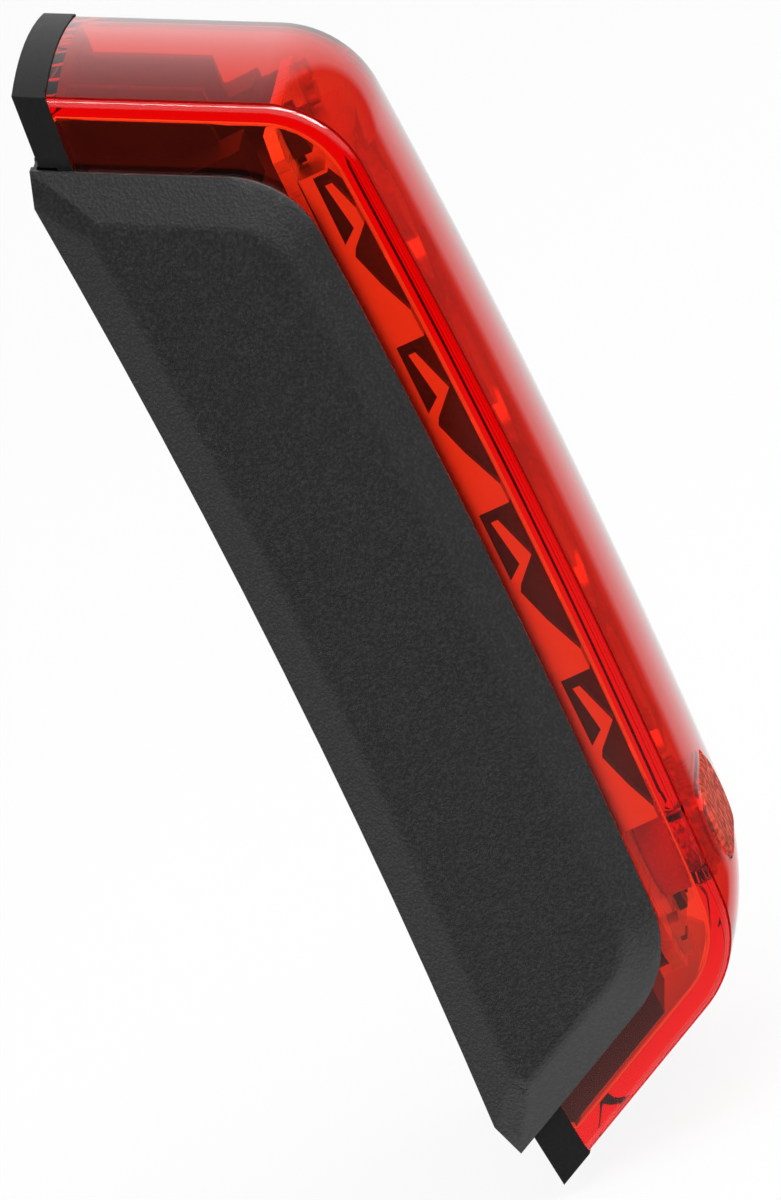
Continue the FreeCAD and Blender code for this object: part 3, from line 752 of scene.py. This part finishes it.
@dataclass
class SidePath:
    """Side view of a shell's front: a bow that turns into a sloping end through a round corner."""

    bow_radius: float = 530 * MM
    end_slope: float = 27.0
    depth: float = 18.25 * MM
    half: float = 38.0 * MM
    corner: float = 7.0 * MM

    @property
    def slope(self) -> float:
        """Fall of the end per unit of depth."""
        return math.tan(math.radians(self.end_slope))

    def corner_centre(self) -> Point:
        """Finds the middle of the round corner, which touches both the bow and the end.

        Returns:
            Its depth and height.
        """
        lean = math.hypot(1.0, self.slope)
        radius = self.bow_radius + self.depth - self.corner
        half = self.half - self.corner * lean
        a = 1 + self.slope ** 2
        b = 2 * (self.bow_radius - half * self.slope)
        c = self.bow_radius ** 2 + half ** 2 - radius ** 2
        depth = (-b + math.sqrt(b * b - 4 * a * c)) / (2 * a)
        return depth, half - depth * self.slope

    def bow_turn(self) -> float:
        """Angle from the middle of the bow to the start of the corner."""
        depth, height = self.corner_centre()
        return math.atan2(height, self.bow_radius + depth)

    def corner_turn(self) -> float:
        """Angle that the corner turns through."""
        return math.radians(90.0 - self.end_slope) - self.bow_turn()


@dataclass
class LensCover:
    """Clear red shell: crowned front, rounded edges, sloping ends and an oval button opening.

    The ends stop at the chassis flanges' swept faces, top_seat and foot_seat deep at seat_height.
    Each side is open behind bay_seat, where the battery bay stands, up to bay_half from the middle.
    """

    path: SidePath = field(default_factory=SidePath)
    half_width: float = 12.4 * MM
    crown: float = 0.6 * MM
    edge_round: float = 0.55 * MM
    wall: float = 1.4 * MM
    inner_round: float = 0.3 * MM
    top_seat: float = 2.69 * MM
    foot_seat: float = 3.67 * MM
    seat_height: float = 38.0 * MM
    seat_sweep: float = 5.5
    bay_seat: float = 12.8 * MM
    bay_half: float = 31.81 * MM
    button_up: float = -22.8 * MM
    button_wide: float = 11.2 * MM
    button_high: float = 5.4 * MM
    cutter_reach: float = 4 * MM
    end_length: float = 18 * MM
    side_overrun: float = 3 * MM
    edge_steps: int = 8
    front_steps: int = 12
    bow_steps: int = 36
    corner_steps: int = 16
    oval_steps: int = 12

    def build(self) -> bpy.types.Object:
        """Makes the shell from an outer and an inner skin joined at the rim.

        Returns:
            The finished shell.
        """
        outer = self._skin("lens_shell", self.half_width, 0.0, self.edge_round)
        inner = self._skin("lens_inside", self.half_width - self.wall, self.wall, self.inner_round)
        hold(outer, inner)
        bpy.ops.object.join()
        with editing(outer):
            bpy.ops.mesh.select_mode(type="EDGE")
            bpy.ops.mesh.select_non_manifold(extend=False, use_wire=False, use_multi_face=False,
                                             use_non_contiguous=False, use_verts=False)
            bpy.ops.mesh.bridge_edge_loops()
            bpy.ops.mesh.select_all(action="SELECT")
            bpy.ops.mesh.normals_make_consistent(inside=False)
        carve(outer, self._button_cutter())
        smooth(outer, 30.0)
        dress(outer, ClearTint("lens_red").build())
        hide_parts("lens_cover")
        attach(outer, "front_unit")
        return outer

    def _crowned(self, x: float, inset: float) -> float:
        """How far the crowned front lies outside the side path at x."""
        return self.crown * (1 - (x / self.half_width) ** 2) - inset

    def _section(self, half_width: float, inset: float, rounding: float) -> List[Point]:
        """Works out half a section across the width, from the side to the middle.

        Args:
            half_width: distance from the middle to the side face.
            inset: how far the skin lies inside the path.
            rounding: radius of the edge between front and side.

        Returns:
            Each point's x and how far it lies outside the path.
        """
        rim = half_width - rounding
        points = []
        for step in range(self.edge_steps):
            turn = math.pi / 2 * step / self.edge_steps
            drop = rounding * (1 - math.sin(turn))
            points.append((-rim - rounding * math.cos(turn), self._crowned(rim, inset) - drop))
        for step in range(self.front_steps + 1):
            x = rim * (1 - step / self.front_steps)
            points.append((-x, self._crowned(x, inset)))
        return points

    def _skin(self, name: str, half_width: float, inset: float, rounding: float) -> bpy.types.Object:
        """Sweeps half a section round the side view, closes the side, trims the back and mirrors it.

        Args:
            name: name of the skin.
            half_width: distance from the middle to the side face.
            inset: how far the skin lies inside the path.
            rounding: radius of the edge between front and side.

        Returns:
            The open skin.
        """
        turn = self.path.bow_turn()
        bow_middle = self.path.bow_radius
        row = []
        for x, offset in self._section(half_width, inset, rounding):
            radius = bow_middle + self.path.depth + offset
            row.append(Vector((x, bow_middle - radius * math.cos(turn), -radius * math.sin(turn))))
        skin = lay_row(name, row)
        with editing(skin):
            bpy.ops.mesh.select_all(action="SELECT")
            bpy.ops.mesh.spin(steps=self.bow_steps, angle=2 * turn,
                              center=(0.0, bow_middle, 0.0), axis=ACROSS)
            self._turn_end(1)
            pick(Kind.VERTS, lambda vert: any((vert.co - place).length < TOUCH for place in row))
            self._turn_end(-1)
            self._close_side(skin, half_width)
            self._trim(1, self.top_seat)
            self._trim(-1, self.foot_seat)
            merge_all(TOUCH)
        finish_modifier(skin, "MIRROR", use_clip=True, merge_threshold=10 * TOUCH)
        return skin

    def _turn_end(self, end: int) -> None:
        """Carries the selected row round a corner and down a sloping end.

        Args:
            end: 1 for the top, -1 for the foot.
        """
        depth, height = self.path.corner_centre()
        bpy.ops.mesh.spin(steps=self.corner_steps, angle=end * self.path.corner_turn(),
                          center=(0.0, -depth, end * height), axis=ACROSS)
        draw_out(Vector((0.0, 1.0, end * self.path.slope)).normalized() * self.end_length)

    def _close_side(self, skin: bpy.types.Object, half_width: float) -> None:
        """Runs a line of edges round the battery bay and fills the side face.

        Args:
            skin: the skin in edit mode.
            half_width: distance from the middle to the side face.
        """
        work = bmesh.from_edit_mesh(skin.data)
        side = [vert for vert in work.verts if abs(vert.co.x + half_width) < TOUCH]
        top = max(side, key=lambda vert: vert.co.z).co.copy()
        wide = self.bay_half + self.side_overrun * self.path.slope
        narrow = self.bay_half - self.bay_seat * self.path.slope
        route = ((self.side_overrun, wide), (-self.bay_seat, narrow), (-self.bay_seat, -narrow),
                 (self.side_overrun, -wide), (top.y, -top.z))
        pick(Kind.VERTS, lambda vert: (vert.co - top).length < TOUCH)
        here = top
        for y, z in route:
            stop = Vector((-half_width, y, z))
            draw_out(stop - here)
            here = stop
        merge_all(TOUCH)
        pick(Kind.EDGES, lambda edge: all(abs(vert.co.x + half_width) < TOUCH for vert in edge.verts))
        bpy.ops.mesh.edge_face_add()

    def _trim(self, end: int, seat: float) -> None:
        """Cuts the skin off along one flange's face.

        Args:
            end: 1 for the top, -1 for the foot.
            seat: depth of that face at seat_height.
        """
        sweep = math.radians(self.seat_sweep)
        bpy.ops.mesh.select_all(action="SELECT")
        bpy.ops.mesh.bisect(
            plane_co=(0.0, -seat, end * self.seat_height),
            plane_no=(0.0, -math.cos(sweep), -end * math.sin(sweep)),
            clear_inner=True)

    def _button_cutter(self) -> bpy.types.Object:
        """Makes an oval block from a cube whose four edges along the depth are rounded.

        Returns:
            The block, across the front wall where the button is.
        """
        bpy.ops.mesh.primitive_cube_add(size=1.0, location=(0.0, -self.path.depth, self.button_up),
                                        scale=(self.button_wide, 2 * self.cutter_reach, self.button_high))
        block = bpy.context.active_object
        block.name = "button_cutter"
        hold(block)
        bpy.ops.object.transform_apply(location=True, rotation=True, scale=True)
        almost_half = 0.999 * self.button_high / 2
        with editing(block):
            pick(Kind.EDGES, lambda edge: abs(edge.verts[0].co.y - edge.verts[1].co.y) > self.cutter_reach)
            bpy.ops.mesh.bevel(offset=almost_half, segments=self.oval_steps, affect="EDGES")
            merge_all(0.005 * MM)
        return block


@dataclass
class RearCover:
    """Black back shell: a copy of the CAD shell whose cheeks get their soft edges."""

    plateau_round: float = 0.35 * MM
    edge_round: float = 0.13 * MM
    flatness: float = 0.02 * MM
    widest: float = field(default_factory=lambda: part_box("rear_cover")[1].x)

    def build(self) -> bpy.types.Object:
        """Rounds the cheeks and dresses them in grained black plastic.

        Returns:
            The finished shell.
        """
        shell = merged_copy("rear_cover", "cover_shell")
        with editing(shell):
            picked = pick(Kind.EDGES, self._on_plateau)
            log.info("cover: %d plateau edges", picked)
            bpy.ops.mesh.bevel(offset=self.plateau_round, segments=5, affect="EDGES", clamp_overlap=True)
        soften(shell, self.edge_round, 2, 38.0)
        smooth(shell, 40.0)
        finish_modifier(shell, "WEIGHTED_NORMAL", keep_sharp=True)
        dress(shell, GrainedPlastic("cover_black", colour=(0.0068, 0.0068, 0.007), roughness=0.32,
                                    specular=0.5, contrast=3.2).build())
        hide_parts("rear_cover")
        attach(shell, "rear_shell")
        return shell

    def _on_plateau(self, edge: bmesh.types.BMEdge) -> bool:
        """True for an edge round the raised middle of a cheek."""
        flat = all(abs(abs(vert.co.x) - self.widest) < self.flatness for vert in edge.verts)
        return flat and edge.calc_face_angle(0.0) > math.radians(3)


@dataclass
class Chassis:
    """Black battery bay and end flanges, the top ribs cut back to upright webs.

    On each side the rib between web_outer and rib_side is cut away above its shoulder, a slope that
    follows the lens's end down to a level step. The web from web_inner to web_outer stays there, but
    ends at web_front. The cuts reach up to the ceiling and, in depth, from back to front.
    """

    edge_round: float = 0.15 * MM
    web_inner: float = 4.0 * MM
    web_outer: float = 5.4 * MM
    overlap: float = 0.1 * MM
    rib_side: float = 11.5 * MM
    step: float = 28.8 * MM
    web_front: float = 9.7 * MM
    ceiling: float = 37.0 * MM
    front: float = 12.0 * MM
    back: float = 2.5 * MM
    shoulder: float = 32.6 * MM

    def build(self) -> bpy.types.Object:
        """Cuts the ribs back, softens the edges and dresses the bay.

        Returns:
            The finished bay.
        """
        bay = merged_copy("chassis", "bay_frame")
        self._relieve(bay)
        soften(bay, self.edge_round, 2, 38.0)
        smooth(bay, 40.0)
        finish_modifier(bay, "WEIGHTED_NORMAL", keep_sharp=True)
        dress(bay, GrainedPlastic("chassis_black", colour=(0.006, 0.006, 0.0062), roughness=0.42,
                                  specular=0.2, depth=0.015 * MM).build())
        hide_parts("chassis")
        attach(bay, "front_unit")
        return bay

    def _relieve(self, bay: bpy.types.Object) -> None:
        """Cuts the top ribs back beside their webs and shortens the webs, on both sides.

        Args:
            bay: the copy of the chassis.
        """
        slope = SidePath().slope
        beside = [(self.back, self.ceiling), (self.back, self.shoulder - slope * self.back),
                  ((self.shoulder - self.step) / slope, self.step), (self.front, self.step),
                  (self.front, self.ceiling)]
        ahead = [(self.web_front, self.ceiling), (self.web_front, self.step), (self.front, self.step),
                 (self.front, self.ceiling)]
        cuts = ((beside, self.web_outer, self.rib_side),
                (ahead, self.web_inner, self.web_outer + self.overlap))
        for side in (-1, 1):
            for outline, inner, outer in cuts:
                carve(bay, prism("rib_cutter", outline, side * inner, side * (outer - inner)))


@dataclass
class PushButton:
    """Oval red cap, its face a little lower and softer than the plain solid's."""

    sink: float = 0.15 * MM
    face_reach: float = 0.4 * MM
    edge_round: float = 0.3 * MM

    def build(self) -> bpy.types.Object:
        """Lowers and softens the cap's face.

        Returns:
            The finished button.
        """
        cap = merged_copy("power_button", "button_cap")
        front = -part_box("power_button")[0].y
        with editing(cap):
            pick(Kind.VERTS, lambda vert: -vert.co.y > front - self.face_reach)
            bpy.ops.transform.translate(value=(0.0, self.sink, 0.0))
        soften(cap, self.edge_round, 3, 30.0)
        smooth(cap, 50.0)
        dress(cap, SoftCap("button_red").build())
        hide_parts("power_button")
        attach(cap, "button")
        return cap


@dataclass
class ButtonBoot:
    """Soft red boot behind the button."""

    seat: float = 13.6 * MM
    travel: float = 0.4 * MM
    slack: float = 0.01 * MM
    edge_round: float = 0.2 * MM

    def build(self) -> bpy.types.Object:
        """Softens and dresses the boot and hangs it on the front unit.

        Returns:
            The finished boot.
        """
        boot = merged_copy("button_boot", "boot_cushion")
        soften(boot, self.edge_round, 2, 40.0)
        smooth(boot, 40.0)
        dress(boot, GrainedPlastic("boot_red", colour=(0.70, 0.03, 0.02), roughness=0.35,
                                   contrast=1.2).build())
        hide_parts("button_boot")
        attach(boot, "front_unit")
        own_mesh(boot)
        return boot


@dataclass
class Reflector:
    """Plated tray whose kite windows are painted near black inside as shade and whose front land is dull.
    """

    window_depth: float = 1.2 * MM
    land_depth: float = 1.5 * MM
    slack: float = 0.01 * MM
    side: float = field(default_factory=lambda: -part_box("reflector")[0].x)
    front: float = field(default_factory=lambda: -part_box("reflector")[0].y)

    def build(self) -> bpy.types.Object:
        """Gives the side and the front land their own finishes, and paints shade into the windows as
        near-black plastic.

        Returns:
            The finished tray.
        """
        tray = merged_copy("reflector", "reflector_tray")
        dress(tray, PlatedPlastic("reflector_plate").build())
        finishes = (
            (PlatedPlastic("tray_side", colour=(0.99, 0.68, 0.62), roughness=0.35), self._on_side),
            (PlatedPlastic("tray_land", colour=(0.30, 0.28, 0.28), roughness=0.3), self._on_land),
            # painted shade: the window walls and floors get near-black plastic so that the recesses look
            # shaded
            (GrainedPlastic("tray_window_shade", colour=(0.05, 0.04, 0.04), roughness=0.5), self._in_window),
        )
        for finish, test in finishes:
            tray.data.materials.append(finish.build())
            with editing(tray):
                found = pick(Kind.FACES, test)
                tray.active_material_index = len(tray.data.materials) - 1
                bpy.ops.object.material_slot_assign()
            log.info("reflector: %d faces in %s", found, finish.name)
        smooth(tray, 30.0)
        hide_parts("reflector")
        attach(tray, "front_unit")
        return tray

    def _on_side(self, face: bmesh.types.BMFace) -> bool:
        """True for a face of the tray's outer sides."""
        return all(abs(vert.co.x) > self.side - self.slack for vert in face.verts)

    def _on_land(self, face: bmesh.types.BMFace) -> bool:
        """True for a face of the flat land round the cups."""
        return face.normal.y < -0.98 and face.calc_center_median().y < self.land_depth - self.front

    def _in_window(self, face: bmesh.types.BMFace) -> bool:
        """True for a wall or the floor of a kite window, where shade is painted."""
        nearest = min(abs(vert.co.x) for vert in face.verts)
        return self.side - self.window_depth - self.slack < nearest < self.side - self.slack


@dataclass
class Innards:
    """CAD nodes that keep their shape and get a finish each."""

    finishes: Dict[str, Finish] = field(default_factory=lambda: {
        "case_seal": GrainedPlastic("seal_rubber", roughness=0.75, colour=(0.03, 0.03, 0.03)),
        "circuit_board": BoardMask("board_white"),
        "board_screws": BrushedMetal("screw_steel", colour=(0.62, 0.62, 0.64), roughness=0.35),
        "switch_body": BrushedMetal("switch_metal", colour=(0.66, 0.66, 0.66)),
        "switch_plunger": GrainedPlastic("plunger_black", colour=(0.02, 0.02, 0.02)),
        "driver_chip": GrainedPlastic("chip_black", colour=(0.018, 0.018, 0.02), roughness=0.5),
        "chip_resistors": GrainedPlastic("resistor_black", colour=(0.02, 0.02, 0.022), roughness=0.45),
        "led_1": ClearDome("led_clear"),
        "cell_left": CellJacket("cell_jacket"),
        "contact_plus": BrushedMetal("contact_metal", colour=(0.78, 0.74, 0.66)),
    })
    shared: Dict[str, str] = field(default_factory=lambda: {
        "led_2": "led_1", "led_3": "led_1", "led_4": "led_1", "cell_right": "cell_left",
        "contact_minus": "contact_plus", "bridge_contact": "contact_plus"})

    def build(self) -> None:
        """Dresses each node."""
        made = {node: finish.build() for node, finish in self.finishes.items()}
        for node, material in made.items():
            dress(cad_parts[node], material)
        for node, source in self.shared.items():
            dress(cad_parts[node], made[source])


# Studio


@dataclass
class Surroundings:
    """White for the eye, a designed room for the object's reflections and a plain light for the rest.

    Beyond the object stands a pale card. On the camera's side are a bright floor, a back wall and a
    front wall. A lamp strip with a dark bar across it hangs above. Each pair is a place along x, y or
    z of a direction, from -1 to 1, and the slope at which its light comes or goes there.
    """

    camera_side: Point = (0.0, 5.0)
    card_front: Point = (-0.21, 30.0)
    card_fade: Point = (-0.8 / 3.0, 3.0)
    card_top: Point = (0.55, 2.4)
    card_light: float = 0.97
    card_dark: float = 0.03
    floor_edge: Point = (-0.2, 2.5)
    floor_light: float = 1.5
    back_edge: Point = (0.3, 3.0)
    back_light: float = 0.5
    front_foot: Point = (-0.05, 6.0)
    front_edge: Point = (0.2, 4.0)
    front_light: float = 1.5
    room_light: float = 0.04
    strip_foot: Point = (0.38, 20.0)
    strip_top: Point = (0.86, 30.0)
    strip_end: Point = (0.35, 12.0)
    strip_middle: float = -0.2
    strip_behind: float = -0.2
    bar_height: float = 0.68
    bar_half: float = 0.02
    strip_light: float = 20.0
    plain_light: float = 0.55

    def build(self) -> None:
        """Makes the world; its strength depends on the kind of ray, so it isn't sampled as a lamp."""
        world = bpy.data.worlds.new("studio")
        bpy.context.scene.world = world
        world.use_nodes = True
        world.cycles.sampling_method = "NONE"
        graph = NodeGraph(world.node_tree)
        x, y, z = graph.axes(graph.add("ShaderNodeTexCoord", output="Generated"))
        behind = graph.rise(x, *self.camera_side)
        shine = behind * self._card(graph, y, z) + (1.0 - behind) * self._room(graph, y, z)
        shine = shine + self._strip(graph, x, y, z)
        seen = graph.ray_is("Is Camera Ray", "Is Transmission Ray")
        glossy = graph.ray_is("Is Glossy Ray")
        strength = seen + (1.0 - seen) * (glossy * shine + (1.0 - glossy) * self.plain_light)
        background = graph.add("ShaderNodeBackground", inputs={"Color": WHITE, "Strength": strength})
        graph.output("ShaderNodeOutputWorld", Surface=background)

    def _card(self, graph: NodeGraph, y: Signal, z: Signal) -> Signal:
        """Pale card beyond the object, fading forwards and upwards.

        Args:
            graph: the world's nodes.
            y: how far a direction points back.
            z: how far it points up.

        Returns:
            The light from that direction.
        """
        card = graph.rise(y, *self.card_front) * graph.rise(y, *self.card_fade)
        card = card * graph.fall(z, *self.card_top)
        return card * self.card_light + self.card_dark

    def _room(self, graph: NodeGraph, y: Signal, z: Signal) -> Signal:
        """Floor, back wall and front wall on the camera's side.

        Args:
            graph: the world's nodes.
            y: how far a direction points back.
            z: how far it points up.

        Returns:
            The light from that direction.
        """
        floor = graph.fall(z, *self.floor_edge) * self.floor_light
        back = graph.rise(y, *self.back_edge) * self.back_light
        front = graph.rise(z, *self.front_foot) * graph.fall(y, *self.front_edge) * self.front_light
        return floor + back + self.room_light + front

    def _strip(self, graph: NodeGraph, x: Signal, y: Signal, z: Signal) -> Signal:
        """Lamp strip above the front, split by a dark bar.

        Args:
            graph: the world's nodes.
            x: how far a direction points to the far side.
            y: how far it points back.
            z: how far it points up.

        Returns:
            The light from that direction.
        """
        lit = graph.rise(z, *self.strip_foot) * graph.fall(z, *self.strip_top)
        lit = lit * (abs(z - self.bar_height) > self.bar_half)
        lit = lit * graph.fall(abs(x - self.strip_middle), *self.strip_end) * (y < self.strip_behind)
        return lit * self.strip_light


@dataclass
class Studio:
    """Pale floor, white surroundings, soft lamps and the camera of the photograph."""

    floor_half: float = 3.0
    floor_gap: float = 0.2 * MM
    azimuth: float = -81.003
    elevation: float = 12.851
    roll: float = -26.496
    distance: float = 0.5
    pixels_per_mm: float = 16.271
    image_long: int = 1200
    aim: Tuple[float, float, float] = (0.0, -3.53 * MM, -0.4 * MM)
    aim_pixel: Point = (342.749, 585.227)
    middle_pixel: Point = (390.5, 600.0)
    sensor: float = 36.0
    bounces: int = 32

    def build(self) -> None:
        """Sets up everything that isn't part of the object."""
        self._floor()
        Surroundings().build()
        self._lamp("top_softbox", place=(-0.12, -0.20, 0.50), size=(0.5, 0.35), power=2.0)
        self._lamp("side_fill", place=(-0.50, 0.10, 0.35), size=(0.4, 0.4), power=0.4)
        self._camera()
        bpy.context.scene.view_settings.view_transform = "Standard"
        light_paths = bpy.context.scene.cycles
        light_paths.max_bounces = self.bounces
        light_paths.transmission_bounces = self.bounces
        light_paths.glossy_bounces = self.bounces

    def _floor(self) -> None:
        """Adds the floor plane just under the lowest point."""
        low, _ = CAD_BOX
        middle = (0.0, 0.0, low.z - self.floor_gap)
        bpy.ops.mesh.primitive_plane_add(size=2 * self.floor_half, location=middle)
        floor = bpy.context.active_object
        floor.name = "studio_floor"
        dress(floor, FloorPaint("floor_white").build())
        floor.visible_glossy = False

    def _lamp(self, name: str, place: Sequence[float], size: Sequence[float], power: float) -> None:
        """Adds a rectangular soft lamp that faces the object and shows in no reflection.

        Args:
            name: name of the lamp.
            place: where it hangs, in metres.
            size: its two sides.
            power: its power in watts.
        """
        data = bpy.data.lights.new(name, "AREA")
        data.shape = "RECTANGLE"
        data.size, data.size_y = size
        data.energy = power
        lamp = bpy.data.objects.new(name, data)
        bpy.context.scene.collection.objects.link(lamp)
        lamp.location = place
        lamp.visible_glossy = False
        lamp.rotation_euler = (-Vector(place)).to_track_quat("-Z", "Y").to_euler()

    def _camera(self) -> None:
        """Places the camera where the photograph was taken from, aimed so that aim falls on its pixel."""
        turn, rise, roll = (math.radians(angle) for angle in (self.azimuth, self.elevation, self.roll))
        away = Vector((math.sin(turn) * math.cos(rise), -math.cos(turn) * math.cos(rise), math.sin(rise)))
        level = Vector((0.0, 0.0, 1.0)).cross(away).normalized()
        upright = away.cross(level)
        right = level * math.cos(roll) + upright * math.sin(roll)
        up = upright * math.cos(roll) - level * math.sin(roll)
        aim = Vector(self.aim)
        across, down = (middle - pixel for middle, pixel in zip(self.middle_pixel, self.aim_pixel))
        scale = MM / self.pixels_per_mm
        middle = aim + right * across * scale - up * down * scale
        place = aim + away * self.distance
        back = (place - middle).normalized()
        right = up.cross(back).normalized()
        data = bpy.data.cameras.new("photo_camera")
        data.sensor_width = self.sensor
        data.lens = self.pixels_per_mm / MM * self.distance / self.image_long * self.sensor
        data.clip_start, data.clip_end = 0.01, 20.0
        camera = bpy.data.objects.new("photo_camera", data)
        bpy.context.scene.collection.objects.link(camera)
        turned = Matrix((right, back.cross(right), back)).transposed().to_4x4()
        turned.translation = place
        camera.matrix_world = turned
        bpy.context.scene.camera = camera


def main() -> None:
    """Builds the light piece by piece, then the studio round it."""
    logging.basicConfig(level=logging.INFO, format="%(name)s: %(message)s")
    Innards().build()
    for maker in (RearCover(), Chassis(), LensCover(), Reflector(), ButtonBoot(), PushButton()):
        piece = maker.build()
        log.info("%s: %d faces", piece.name, len(piece.data.polygons))
    Studio().build()


if __name__ == "__main__":
    main()
